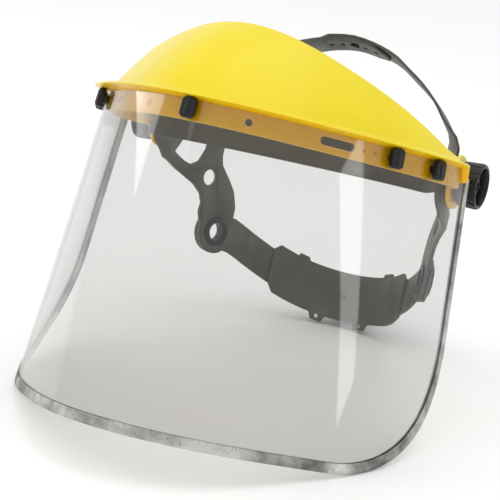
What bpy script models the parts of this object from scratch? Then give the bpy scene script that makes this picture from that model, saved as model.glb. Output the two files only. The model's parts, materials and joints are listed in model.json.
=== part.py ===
"""Brow-guard face shield: guard, clear visor with metal trim, turn buttons, pivots and adjustable headgear.

Everything is laid out as worn (X to the wearer's left, Y to the back, Z up, pivot axis along X) under one
empty, which then leans the whole shield back until the visor's corners and the rear band touch the table.
"""

from math import cos, hypot, pi, radians, sin, sqrt

import bmesh
import bpy
import numpy as np
from mathutils import Matrix, Vector

mm = 0.001
gap = 0.3 * mm                    # clearance between neighbouring pieces

# Guard: plan curve of the band's outer face
half_width = 115 * mm             # widest, at y = 0
front_depth = 149.7 * mm          # centre of the forehead to y = 0
plan_tuck = 0.083                 # how far the plan is drawn in between front and side
lug_half_width = 104 * mm         # outer face of the flat pivot lugs
tuck_start, tuck_length = -10 * mm, 24 * mm    # where the band steps in to the lugs
flare = 0.085                     # outward slope of band and visor, per unit of depth

# Guard: dome, brim and band
dome_apex, dome_power = 66.8 * mm, 2.84        # the dome closes at this height, before it is cut off
dome_centre_y = -18.7 * mm
rim_rake, rim_foot = 0.608, -15 * mm           # the rear cut's slope, and where it meets z = 0
rim_low, rim_blend = 2.5 * mm, 7 * mm          # the rim's height beside the ear
band_height = 14.6 * mm
guard_wall = 2.4 * mm
brim_width, brim_thickness = 9.6 * mm, 2.2 * mm

# Pivot
pivot_y, pivot_z = 28 * mm, -9 * mm
lug_radius = 17 * mm
screw_radius = 2.9 * mm
bore_radius = 3.3 * mm

# Visor, trim and buttons
visor_wall = 1.0 * mm
visor_top = -2.6 * mm
visor_height = 188.7 * mm
visor_corner = 86 * mm
visor_end_y = 3 * mm              # where the visor's side edges stand
trim_depth, trim_wall = 6.2 * mm, 0.8 * mm
trim_start = -7 * mm
button_angles = (-73.5, -59, 0, 59, 73.5)
button_z = -8.2 * mm
button_stem, button_hole = 2.2 * mm, 2.6 * mm

# Headgear
headband_wall = 2.2 * mm
headband_half = 98.0 * mm
brow_front = 44 * mm              # brow band ahead of y = 0
brow_top, brow_bottom = 5 * mm, -21 * mm
hub_y, hub_z, hub_half = 90 * mm, -73 * mm, 77 * mm
hub_radius, eyelet_bore, eyelet_outer = 15 * mm, 6.2 * mm, 7.0 * mm
swing_gap = 0.95 * mm
nape_tilt = radians(26)           # the rear band drops towards the nape
nape_wall = 1.8 * mm
nape_width, strap_width = 34 * mm, 24 * mm
stud_along, stud_z, stud_radius = 32 * mm, 1 * mm, 1.6 * mm    # crown studs behind the pivots
crown_rise, crown_lean = 68 * mm, radians(12)
crown_arch = 1.18                 # 1 is an ellipse, more has flatter shoulders
crown_base_width, crown_top_width = 28 * mm, 21 * mm
crown_wall = 1.6 * mm
crown_overlap = 26 * mm           # each half passes the middle by this much
knob_reach = 15.5 * mm            # ratchet knob radius

for old in list(bpy.data.objects):
    bpy.data.objects.remove(old, do_unlink=True)


# ---------------------------------------------------------------- materials

def material(name, colour, roughness, metallic=0.0, transmission=0.0):
    made = bpy.data.materials.new(name)
    made.use_nodes = True
    shader = made.node_tree.nodes["Principled BSDF"]
    shader.inputs["Base Color"].default_value = (*colour, 1)
    shader.inputs["Roughness"].default_value = roughness
    shader.inputs["Metallic"].default_value = metallic
    shader.inputs["Transmission Weight"].default_value = transmission
    return made


yellow_plastic = material("yellow_plastic", (0.9, 0.75, 0.01), 0.3)
clear_sheet = material("clear_sheet", (0.9, 0.92, 0.92), 0.05, 0.0, 0.9)
aluminium = material("aluminium", (0.55, 0.55, 0.54), 0.4, 1.0)
black_plastic = material("black_plastic", (0.02, 0.02, 0.02), 0.35)
headgear_plastic = material("headgear_plastic", (0.035, 0.035, 0.03), 0.5)
steel = material("steel", (0.6, 0.6, 0.6), 0.3, 1.0)
brass = material("brass", (0.7, 0.5, 0.2), 0.35, 1.0)
foam = material("foam", (0.03, 0.03, 0.032), 0.95)


# ---------------------------------------------------------------- frames

def empty(name, location, parent=None):
    made = bpy.data.objects.new(name, None)
    bpy.context.collection.objects.link(made)
    made.location = location
    made.parent = parent
    return made


worn = empty("worn_frame", (0, 0, 0))
guard_axis = empty("guard_tilt_axis", (0, pivot_y, pivot_z), worn)
nape_axis = empty("nape_swing_axis", (0, hub_y, hub_z), worn)


def add(name, mesh, skin, parent, at=None, turn=None):
    """Link a mesh as a node. Without `at` its points are in the worn frame, whatever its parent."""
    made = bpy.data.objects.new(name, mesh)
    bpy.context.collection.objects.link(made)
    mesh.materials.append(skin)
    origin = Vector((0, 0, 0)) if parent is worn else Vector(parent.location)
    made.parent = parent
    made.location = (Vector(at) if at is not None else Vector((0, 0, 0))) - origin
    if turn is not None:
        made.rotation_euler = turn.to_euler()
    return made


def smooth(mesh, angle=35):
    mesh.shade_smooth()
    mesh.set_sharp_from_angle(angle=radians(angle))
    return mesh


def cut(target, cutter, operation="DIFFERENCE"):
    cutter.hide_render = True
    cutter.display_type = "WIRE"
    modifier = target.modifiers.new(cutter.name, "BOOLEAN")
    modifier.operation = operation
    modifier.object = cutter
    modifier.solver = "EXACT"


# ---------------------------------------------------------------- mesh makers

def mesh_from(name, points, faces, flat_angle=0.0):
    """A mesh facing out; faces that meet at less than `flat_angle` are joined into one."""
    mesh = bpy.data.meshes.new(name)
    bm = bmesh.new()
    made = [bm.verts.new(point) for point in points]
    for face in faces:
        bm.faces.new([made[index] for index in face])
    bmesh.ops.recalc_face_normals(bm, faces=bm.faces)
    if flat_angle:
        bmesh.ops.dissolve_limit(bm, angle_limit=flat_angle, verts=bm.verts, edges=bm.edges)
    bm.to_mesh(mesh)
    bm.free()
    return smooth(mesh)


def loft(name, rings, closed=False):
    """Skin a list of equal closed loops, capped at both ends unless the last joins the first."""
    count, across = len(rings), len(rings[0])
    points = [point for ring in rings for point in ring]
    faces = []
    for i in range(count if closed else count - 1):
        a, b = i * across, (i + 1) % count * across
        faces += [(a + j, a + (j + 1) % across, b + (j + 1) % across, b + j) for j in range(across)]
    if not closed:
        faces += [tuple(range(across)), tuple(range((count - 1) * across, count * across))]
    return mesh_from(name, points, faces)


wave_from = 12.5 * mm             # only points outside this radius carry a knob's flutes


def turned(name, profile, segments=32, wave=None):
    """Turn a closed (radius, height) outline about Z; `wave` scales the radius of outer points by angle."""
    rings = []
    for k in range(segments):
        a = 2 * pi * k / segments
        scale = wave(a) if wave else 1
        ring = [(r * scale if r > wave_from else r, z) for r, z in profile]
        rings.append([Vector((cos(a) * r, sin(a) * r, z)) for r, z in ring])
    return loft(name, rings, closed=True)


def ring_profile(inner, outer, low, high):
    return [(inner, low), (outer, low), (outer, high), (inner, high)]


def prism(name, outline, low, high):
    return loft(name, [[Vector((x, y, low)) for x, y in outline], [Vector((x, y, high)) for x, y in outline]])


def arc(x, y, radius, start, end, count):
    return [(x + radius * cos(radians(start + (end - start) * k / (count - 1))),
             y + radius * sin(radians(start + (end - start) * k / (count - 1)))) for k in range(count)]


def circle(x, y, radius, count=20):
    return arc(x, y, radius, 0, 360, count + 1)[:-1]


def slot(x, y, length, radius, count=7):
    """A round-ended slot along x."""
    reach = length / 2 - radius
    return arc(x + reach, y, radius, -90, 90, count) + arc(x - reach, y, radius, 90, 270, count)


def rounded_box(width, height, radius, count=4):
    """Outline of a rectangle with round corners, centred on the origin."""
    points = []
    for sx, sy, start in ((1, 1, 0), (-1, 1, 90), (-1, -1, 180), (1, -1, 270)):
        points += arc(sx * (width / 2 - radius), sy * (height / 2 - radius), radius, start, start + 90, count)
    return points


def bent_sheet(name, loops, surface, low, high, stations):
    """Fill flat loops (the first is the outline, the rest are holes), cut the fill at the stations,
    and raise it onto a surface: surface(s, t, out) gives a point, `low` and `high` are its two faces."""
    bm = bmesh.new()
    edges = []
    for loop in loops:
        verts = [bm.verts.new((s, t, 0)) for s, t in loop]
        edges += [bm.edges.new((verts[k], verts[(k + 1) % len(verts)])) for k in range(len(verts))]
    bmesh.ops.triangle_fill(bm, edges=edges, use_beauty=True, use_dissolve=False, normal=(0, 0, 1))
    for station in stations:
        bmesh.ops.bisect_plane(bm, geom=bm.verts[:] + bm.edges[:] + bm.faces[:], dist=1e-6,
                               plane_co=(station, 0, 0), plane_no=(1, 0, 0))
    bmesh.ops.remove_doubles(bm, verts=bm.verts, dist=1e-5)
    bmesh.ops.triangulate(bm, faces=bm.faces)
    flat = [(v.co.x, v.co.y) for v in bm.verts]
    faces = [[v.index for v in f.verts] if f.normal.z > 0 else [v.index for v in reversed(f.verts)]
             for f in bm.faces]
    rim = [(e.verts[0].index, e.verts[1].index) for e in bm.edges if e.is_boundary]
    bm.free()
    count = len(flat)
    points = [surface(s, t, low) for s, t in flat] + [surface(s, t, high) for s, t in flat]
    solid = [tuple(reversed(f)) for f in faces] + [tuple(i + count for i in f) for f in faces]
    solid += [(a, b, b + count, a + count) for a, b in rim]
    return mesh_from(name, points, solid, flat_angle=radians(0.4))


# ---------------------------------------------------------------- curves in plan

class PlanCurve:
    """A curve in plan from the middle (s = 0) to one side, mirrored for negative s."""

    def __init__(self, points):
        self.points = np.array(points)
        self.length = np.concatenate([[0], np.cumsum(np.linalg.norm(np.diff(self.points, axis=0), axis=1))])
        tangent = np.gradient(self.points, self.length, axis=0)
        self.tangent = tangent / np.linalg.norm(tangent, axis=1)[:, None]

    def __call__(self, s):
        """Point and outward normal at arc length s."""
        side = -1 if s < 0 else 1
        x, y = (np.interp(abs(s), self.length, self.points[:, k]) for k in (0, 1))
        tx, ty = (np.interp(abs(s), self.length, self.tangent[:, k]) for k in (0, 1))
        return Vector((side * x, y, 0)), Vector((side * ty, -tx, 0)).normalized()

    def at_y(self, y):
        """Arc length where the curve, running backwards, reaches y."""
        return float(np.interp(y, self.points[:, 1], self.length))


def ease(value):
    value = min(max(value, 0), 1)
    return value * value * (3 - 2 * value)


def brow_plan(step_in):
    """Round the brow, then straight back; the guard's band steps in by `step_in` to its lugs."""
    points = []
    for k in range(181):
        t = radians(k / 2)
        draw = 1 - plan_tuck * sin(2 * t) ** 2
        points.append((half_width * sin(t) * draw, -front_depth * cos(t) * draw))
    points += [(half_width, (pivot_y + lug_radius) * k / 100) for k in range(1, 101)]
    return PlanCurve([(x - step_in * ease((y - tuck_start) / tuck_length), y) for x, y in points])


guard = brow_plan(half_width - lug_half_width)
sheet = brow_plan(0)


def guard_angle(angle):
    """Arc length at a plan angle from the front, in degrees."""
    t = radians(abs(angle))
    draw = 1 - plan_tuck * sin(2 * t) ** 2
    reached = guard.at_y(-front_depth * cos(t) * draw)
    return reached if angle >= 0 else -reached


def sheet_surface(s, z, out):
    """The visor's surface: it slopes outward as it goes down."""
    point, normal = sheet(s)
    return point + normal * (out - flare * z) + Vector((0, 0, z))


# ---------------------------------------------------------------- brow guard

def lug_crest(y):
    """Height of the lug's round top at y, or None clear of the lug."""
    reach = lug_radius ** 2 - (y - pivot_y) ** 2
    return pivot_z + sqrt(reach) if reach > 0 else None


def rim_height(y):
    """The rear rim: a leaning cut over the dome, a low edge beside the ear, then the lug's round top."""
    cut_off = rim_rake * (rim_foot - y)
    edge = (cut_off + rim_low + hypot(cut_off - rim_low, rim_blend)) / 2
    crest = lug_crest(y)
    if crest is None:
        return edge
    return crest if y > pivot_y else max(edge, crest)


def dome_point(foot, fade, z):
    """The guard's outer face at height z above a point of the band; it leans in to the dome's centre."""
    left = (1 - max(z, 0) / dome_apex) ** (1 / dome_power)
    share = (1 - left) * fade
    return Vector((foot.x * (1 - share), foot.y + (dome_centre_y - foot.y) * share, z))


def band_bottom(y):
    reach = lug_radius ** 2 - (y - pivot_y) ** 2
    return min(-band_height, pivot_z - sqrt(reach)) if reach > 0 else -band_height


def guard_column(s, band_rows=2, dome_rows=8):
    """One column of the guard's outer face, from the band's lower edge up to the rear rim."""
    foot, normal = guard(s)
    fade = 1 - ease((foot.y - tuck_start) / tuck_length)
    bottom = band_bottom(foot.y)
    ring = min(0, lug_crest(foot.y) - 3 * mm) if foot.y > pivot_y else 0
    column = []
    for k in range(band_rows):
        z = bottom + (ring - bottom) * k / band_rows
        column.append(foot + normal * (-flare * fade * z) + Vector((0, 0, z)))
    low, high = ring, dome_apex * 0.999
    for step in range(30):
        z = (low + high) / 2
        if z < rim_height(dome_point(foot, fade, z).y):
            low = z
        else:
            high = z
    for k in range(dome_rows + 1):
        column.append(dome_point(foot, fade, ring + (low - ring) * k / dome_rows))
    return column


def brow_guard():
    end = guard.at_y(pivot_y + 0.93 * lug_radius)
    half = [end * (k / 22) for k in range(23)]
    stations = [-s for s in reversed(half[1:])] + half
    columns = [guard_column(s) for s in stations]
    rows = len(columns[0])
    points = [p for column in columns for p in column]
    faces = [(i * rows + j, (i + 1) * rows + j, (i + 1) * rows + j + 1, i * rows + j + 1)
             for i in range(len(columns) - 1) for j in range(rows - 1)]
    shell = add("brow_guard", mesh_from("brow_guard", points, faces), yellow_plastic, guard_axis)
    solid = shell.modifiers.new("wall", "SOLIDIFY")
    solid.thickness = guard_wall
    solid.offset = -1
    solid.use_even_offset = True

    lip_end = guard.at_y(12 * mm)
    rings = []
    for k in range(-22, 23):
        s = lip_end * k / 22
        point, normal = guard(s)
        reach = brim_width * (1 - ease((abs(k) / 22 - 0.82) / 0.18)) + 0.9 * mm
        root = point - normal * 1.4 * mm
        edge = point + normal * reach
        rings.append([root + Vector((0, 0, 1.6 * mm)), edge + Vector((0, 0, 0.5 * mm)),
                      edge + Vector((0, 0, -0.9 * mm)), root + Vector((0, 0, -brim_thickness + 0.4 * mm))])
    lip = add("brim_lip_form", loft("brim_lip_form", rings), yellow_plastic, guard_axis)
    cut(shell, lip, "UNION")

    drills = []
    for angle in button_angles:
        drills.append((guard_angle(angle), button_z, circle(0, 0, button_hole, 12)))
    for side in (-1, 1):
        drills.append((guard_angle(side * 16), -8.5 * mm, circle(0, 0, 2.1 * mm, 12)))
        drills.append((guard_angle(side * 42), -8.0 * mm, slot(0, 0, 24 * mm, 2.4 * mm)))
        drills.append((guard_angle(side * 51), -8.0 * mm, circle(-2 * mm, 0, 1.1 * mm, 8)))
        drills.append((guard_angle(side * 52.8), -8.0 * mm, circle(2 * mm, 0, 1.1 * mm, 8)))
    for number, (s, z, outline) in enumerate(drills):
        point, normal = guard(s)
        turn = frame_along(normal)
        drill = add(f"guard_drill_{number}", prism("drill", outline, -8 * mm, 8 * mm), steel, guard_axis,
                    point + Vector((0, 0, z)), turn)
        cut(shell, drill)
    for side in (-1, 1):
        drill = add(f"lug_drill_{side}", prism("drill", circle(0, 0, bore_radius, 20), -8 * mm, 8 * mm), steel,
                    guard_axis, (side * lug_half_width, pivot_y, pivot_z), frame_along(Vector((side, 0, 0))))
        cut(shell, drill)
    return shell


def frame_along(normal):
    """Rotation whose Z is the normal and whose Y is as near to up as it can be."""
    z = normal.normalized()
    x = Vector((0, 0, 1)).cross(z).normalized()
    return Matrix((x, z.cross(x), z)).transposed()


# ---------------------------------------------------------------- visor and trim

visor_inner = gap
visor_outer = gap + visor_wall
visor_reach = sheet.at_y(visor_end_y)


def visor_outline():
    flat = visor_reach - visor_corner
    low = -visor_height
    side = arc(flat, low + visor_corner, visor_corner, -90, 0, 19)
    return ([(s, z) for s, z in side] + [(visor_reach - 3 * mm, visor_top), (-visor_reach + 3 * mm, visor_top)]
            + [(-s, z) for s, z in reversed(side)])


def visor():
    holes = [circle(guard_angle(angle), button_z, button_hole, 12) for angle in button_angles]
    count = 52
    stations = [visor_reach * (2 * k / count - 1) for k in range(1, count)]
    mesh = bent_sheet("visor", [visor_outline()] + holes, sheet_surface, visor_inner, visor_outer, stations)
    return add("visor", mesh, clear_sheet, guard_axis)


def trim_path():
    """Points (s, z) of the visor's edge from one top end to the other, with the inward direction."""
    flat = visor_reach - visor_corner
    low = -visor_height
    half = [(k * flat / 15, low, 0, 1) for k in range(15)]
    for k in range(12):
        a = radians(-90 + 90 * k / 11)
        half.append((flat + visor_corner * cos(a), low + visor_corner * (1 + sin(a)), -cos(a), -sin(a)))
    top = low + visor_corner
    half += [(visor_reach, top + (trim_start - top) * k / 3, -1, 0) for k in range(1, 4)]
    return [(-s, z, -ds, dz) for s, z, ds, dz in reversed(half[1:])] + half


def edge_trim():
    inner, outer = visor_inner - gap, visor_outer + gap
    rings = []
    for s, z, ds, dz in trim_path():
        def at(depth, out):
            return sheet_surface(s + ds * depth, z + dz * depth, out)
        tip = -gap - trim_wall
        mouth = trim_depth - gap - trim_wall
        rings.append([at(mouth, inner), at(-gap, inner), at(-gap, outer), at(mouth, outer),
                      at(mouth, outer + trim_wall), at(tip, outer + trim_wall),
                      at(tip, inner - trim_wall), at(mouth, inner - trim_wall)])
    return add("edge_trim", loft("edge_trim", rings), aluminium, guard_axis)


def visor_buttons():
    for number, angle in enumerate(button_angles, 1):
        s = guard_angle(angle)
        point, normal = guard(s)
        place = point + Vector((0, 0, button_z)) - normal * flare * button_z
        head_low, head_high = 3.0 * mm, 7.6 * mm
        outline = rounded_box(8.8 * mm, 12 * mm, 2.8 * mm, 3)
        crown = [(x * 0.86, y * 0.9) for x, y in outline]
        head = loft(f"visor_button_{number}", [
            [Vector((x, y, head_low)) for x, y in outline],
            [Vector((x, y, head_high - 1.2 * mm)) for x, y in outline],
            [Vector((x, y, head_high)) for x, y in crown]])
        tip = visor_inner - guard_wall - 1.6 * mm
        stem = turned("stem", [(0.5 * mm, tip), (2.0 * mm, tip), (3.2 * mm, tip + 0.9 * mm),
                               (button_stem, tip + 0.91 * mm), (button_stem, visor_outer + gap),
                               (3.4 * mm, visor_outer + gap), (3.4 * mm, head_low + 0.8 * mm),
                               (0.5 * mm, head_low + 0.8 * mm)], 12)
        turn = frame_along((normal + Vector((0, 0, flare))).normalized())
        button = add(f"visor_button_{number}", head, black_plastic, guard_axis, place, turn)
        shaft = add(f"button_stem_form_{number}", stem, black_plastic, guard_axis, place, turn)
        cut(button, shaft, "UNION")


# ---------------------------------------------------------------- pivots

def pivot(side, label):
    turn = frame_along(Vector((side, 0, 0)))
    centre = Vector((0, pivot_y, pivot_z))

    def at(x):
        return centre + Vector((side * x, 0, 0))

    add(f"friction_washer_{label}",
        turned("friction_washer", ring_profile(bore_radius, 10 * mm, 0, lug_half_width - guard_wall
                                               - headband_half - 2 * gap), 20),
        black_plastic, worn, at(headband_half + gap), turn)
    add(f"knob_washer_{label}", turned("knob_washer", ring_profile(bore_radius, 9 * mm, 0, 1 * mm), 20),
        steel, worn, at(lug_half_width + gap), turn)

    screw_tip = 15.5 * mm
    head = headband_half - headband_wall - gap
    add(f"pivot_screw_{label}",
        turned("pivot_screw", [(0.4 * mm, -2.6 * mm), (4.5 * mm, -2.6 * mm), (6.6 * mm, -1.7 * mm), (7 * mm, 0),
                               (screw_radius, 0), (screw_radius, lug_half_width - head + screw_tip - 5 * mm),
                               (0.4 * mm, lug_half_width - head + screw_tip - 5 * mm)], 16),
        steel, worn, at(head), turn)

    base = lug_half_width + 1 * mm + 2 * gap
    length = 14 * mm
    flutes = 14

    def wave(a):
        return 1 - 0.035 * max(0, cos(flutes * a)) ** 2

    nut_radius, nut_low, nut_high = 4.6 * mm, 0.8 * mm, 6 * mm
    cup = turned("pivot_knob", [(bore_radius, 0), (12.8 * mm, 0), (13.8 * mm, 1 * mm), (14.4 * mm, length - 1.5 * mm),
                                (13.9 * mm, length - 0.4 * mm), (13.2 * mm, length), (12.2 * mm, length),
                                (11.6 * mm, length - 0.8 * mm), (11.4 * mm, nut_high + 1.2 * mm),
                                (bore_radius, nut_high + 1.2 * mm), (bore_radius, nut_high),
                                (nut_radius, nut_high), (nut_radius, nut_low), (bore_radius, nut_low)],
                 42, wave)
    knob = add(f"pivot_knob_{label}", cup, black_plastic, worn, at(base), turn)
    star = []
    for k in range(5):
        a = 72 * k
        star += arc(0, 0, 12 * mm, a - 3, a + 3, 2) + arc(0, 0, 5.6 * mm, a + 8, a + 64, 5)
    ribs = add(f"knob_rib_form_{label}", prism("ribs", star, nut_high + 0.7 * mm, length - 3.2 * mm),
               black_plastic, worn, at(base), turn)
    eye = add(f"knob_eye_form_{label}", prism("eye", circle(0, 0, bore_radius, 18), nut_high - 1 * mm, length),
              black_plastic, worn, at(base), turn)
    cut(ribs, eye)
    cut(knob, ribs, "UNION")
    add(f"knob_nut_{label}", turned("knob_nut", ring_profile(screw_radius + gap, nut_radius - gap,
                                                             nut_low + gap, nut_high - gap), 20),
        brass, worn, at(base), turn)


# ---------------------------------------------------------------- headband

def headband_plan():
    """Outer face: round the brow, straight through the pivot discs, then tapering to the hubs."""
    points = []
    front_y = 6 * mm
    for k in range(91):
        t = radians(k)
        points.append((headband_half * sin(t), front_y - (brow_front + front_y) * cos(t)))
    disc_end = pivot_y + 14 * mm
    points += [(headband_half, y * mm) for y in range(8, int(disc_end / mm) + 1, 4)]
    bend = 10 * mm
    reach = hypot(headband_half - hub_half, hub_y - disc_end - bend)
    lean = (headband_half - hub_half) / (hub_y - disc_end - bend / 2)
    for k in range(1, 26):
        y = disc_end + (hub_y + 22 * mm - disc_end) * k / 25
        over = y - disc_end
        drop = lean * (over * over / (2 * bend) if over < bend else over - bend / 2)
        points.append((headband_half - drop, y))
    return PlanCurve(points)


band = headband_plan()
disc_s = band.at_y(pivot_y)
hub_s = band.at_y(hub_y)


def band_surface(s, z, out):
    point, normal = band(s)
    return point + normal * out + Vector((0, 0, z))


def headband():
    a = disc_s

    def side(points):
        return [(a + x * mm, z * mm) for x, z in points]

    disc = 20 * mm
    half = [(0, brow_top)]
    half += side([(-30, 5), (-14, 5.5), (-6, 6), (6, 6), (14, 5.5), (30, 5), (50, 5), (57, 3), (58, -6),
                  (58, -22), (60, -28), (68, -36), (75, -44), (79, -54), (79.5, -64)])
    half += arc(hub_s, hub_z, hub_radius, 12, -190, 14)
    half += side([(48.5, -62), (49, -56), (46, -50), (39, -45), (24, -39), (6, -33.5), (0, -32.5)])
    half += arc(a, pivot_z, disc, 248, 205, 5)
    half += [(a - 24 * mm, brow_bottom + 2 * mm), (a - 34 * mm, brow_bottom), (0, brow_bottom)]
    left = [(-s, z) for s, z in reversed(half[1:-1])]
    outline = half[:-1] + [half[-1]] + left
    window = side([(24, -4), (34, -3), (41, -4.5), (43.5, -12), (43, -20), (39, -29), (32.5, -32.5), (26, -31),
                   (18, -28), (13.5, -26.5), (19, -20), (23, -12)])
    holes = [window, circle(a + 51 * mm, -38 * mm, 5.5 * mm, 16), circle(hub_s, hub_z, eyelet_outer + gap, 20),
             circle(a, pivot_z, bore_radius, 16), circle(a + stud_along, stud_z, stud_radius + gap, 8)]
    loops = [outline]
    for hole in holes:
        loops += [hole, [(-s, z) for s, z in hole]]
    front = [(a - 30 * mm) * k / 14 for k in range(15)]
    rear = [a + x * mm for x in (-22, -11, 21, 25, 29, 33)]
    stations = sorted({round(s, 6) for s in front + rear} | {round(-s, 6) for s in front + rear})
    mesh = bent_sheet("headband", loops, band_surface, -headband_wall, 0, stations)
    return add("headband", mesh, headgear_plastic, worn)


def sweatband():
    reach = disc_s - 26 * mm
    outline = slot(0, (brow_top + brow_bottom) / 2, 2 * reach, 12.5 * mm, 7)
    stations = [reach * (2 * k / 22 - 1) for k in range(1, 22)]
    mesh = bent_sheet("sweatband", [outline], band_surface, -headband_wall - gap - 4.5 * mm,
                      -headband_wall - gap, stations)
    return add("sweatband", mesh, foam, worn)


# ---------------------------------------------------------------- nape band

def nape_plan():
    """Inner face of the straps, from the middle of the nape forward to the hub, in the swing plane."""
    start, normal = band(hub_s)
    start = start + normal * swing_gap
    heading = Vector((-normal.y, normal.x))            # backwards along the side plate
    if heading.y < 0:
        heading = -heading
    back = hub_y + 73 * mm
    points = []
    p0 = Vector((0, back))
    p3 = Vector((start.x, start.y))
    p1 = p0 + Vector((44 * mm, 0))
    p2 = p3 + heading * 46 * mm
    for k in range(81):
        t = k / 80
        point = (1 - t) ** 3 * p0 + 3 * t * (1 - t) ** 2 * p1 + 3 * t * t * (1 - t) * p2 + t ** 3 * p3
        points.append((point.x, point.y))
    points += [(p3.x - heading.x * k * mm, p3.y - heading.y * k * mm) for k in range(2, 20, 2)]
    return points


class NapeCurve(PlanCurve):
    """The nape's curve runs forward from the middle, so its outward normal is the other way round."""

    def __call__(self, s):
        point, normal = super().__call__(s)
        return point, -normal


nape = NapeCurve(nape_plan())
nape_hub_s = float(np.interp(-hub_y, -nape.points[:, 1], nape.length))


def nape_surface(s, t, out):
    """Raise a point of the flat strap; the band drops towards the nape."""
    point, normal = nape(s)
    behind = point.y - hub_y - 12 * mm                 # the hub rings themselves stay level
    soft = 8 * mm
    drop = 0 if behind < 0 else (behind * behind / (2 * soft) if behind < soft else behind - soft / 2)
    return point + normal * out + Vector((0, 0, hub_z - drop * sin(nape_tilt) + t))


def nape_strap(side, label):
    """From the hub ring back into the adjuster; both straps overlap in the middle, one outside the other."""
    layer = 0 if side > 0 else nape_wall + gap
    end = -44 * mm
    ring = 14.5 * mm
    half = strap_width / 2
    h = nape_hub_s
    outline = [(end, -half + 4 * mm), (end + 4 * mm, -half)]
    outline += [(h - 30 * mm, -half), (h - 18 * mm, -half)]
    outline += arc(h, 0, ring, -128, 128, 17)
    outline += [(h - 18 * mm, half), (h - 30 * mm, half), (end + 4 * mm, half), (end, half - 4 * mm)]
    rack = rack_slot(-9 * mm, 56 * mm, 6.6 * mm, 1.1 * mm, side)
    holes = [rack, circle(h, 0, eyelet_outer + 0.8 * mm, 20)]
    loops = [[(side * s, t) for s, t in loop] for loop in [outline] + holes]
    stations = [side * (end + (h - 20 * mm - end) * k / 22) for k in range(1, 22)]

    def surface(s, t, out):
        reach = abs(s) if s * side > 0 else 0
        lift = layer * (1 - ease((reach - 44 * mm) / (18 * mm)))
        return nape_surface(s, t, out + lift)

    mesh = bent_sheet(f"nape_strap_{label}", loops, surface, 0, nape_wall, stations)
    return add(f"nape_strap_{label}", mesh, headgear_plastic, nape_axis)


def rack_slot(middle, length, half, tooth, edge):
    """A long slot with a toothed lower (edge -1) or upper (edge 1) side."""
    left, right = middle - length / 2, middle + length / 2
    teeth = int(length / (3.6 * mm)) - 1
    start = middle - (teeth * 3.6 * mm) / 2
    toothed = []
    for k in range(teeth):
        x = start + k * 3.6 * mm
        toothed += [(x, half), (x + 0.9 * mm, half - tooth), (x + 1.8 * mm, half - tooth), (x + 2.7 * mm, half)]
    plain = [(right - 2 * mm, half), (right, half - 3 * mm), (right, -half + 3 * mm), (right - 2 * mm, -half)]
    loop = [(left + 2 * mm, -half), (left, -half + 3 * mm), (left, half - 3 * mm), (left + 2 * mm, half)]
    loop += toothed + plain
    return [(x, edge * y) for x, y in loop]


def tabbed_outline(reach, half):
    """The rear band's outline, with two guide tabs on its upper edge and two eyed tabs below."""
    outline = [(-reach, -half + 5 * mm), (-reach + 5 * mm, -half)]
    for middle in (-17 * mm, 17 * mm):
        outline += [(middle - 6 * mm, -half), (middle - 4 * mm, -half - 4.5 * mm),
                    (middle + 4 * mm, -half - 4.5 * mm), (middle + 6 * mm, -half)]
    outline += [(reach - 5 * mm, -half), (reach, -half + 5 * mm), (reach, half - 5 * mm), (reach - 5 * mm, half)]
    for middle in (34 * mm, -34 * mm):
        outline += [(middle + 4.5 * mm, half), (middle + 3.5 * mm, half + 2.2 * mm),
                    (middle - 3.5 * mm, half + 2.2 * mm), (middle - 4.5 * mm, half)]
    return outline + [(-reach + 5 * mm, half), (-reach, half - 5 * mm)]


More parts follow.
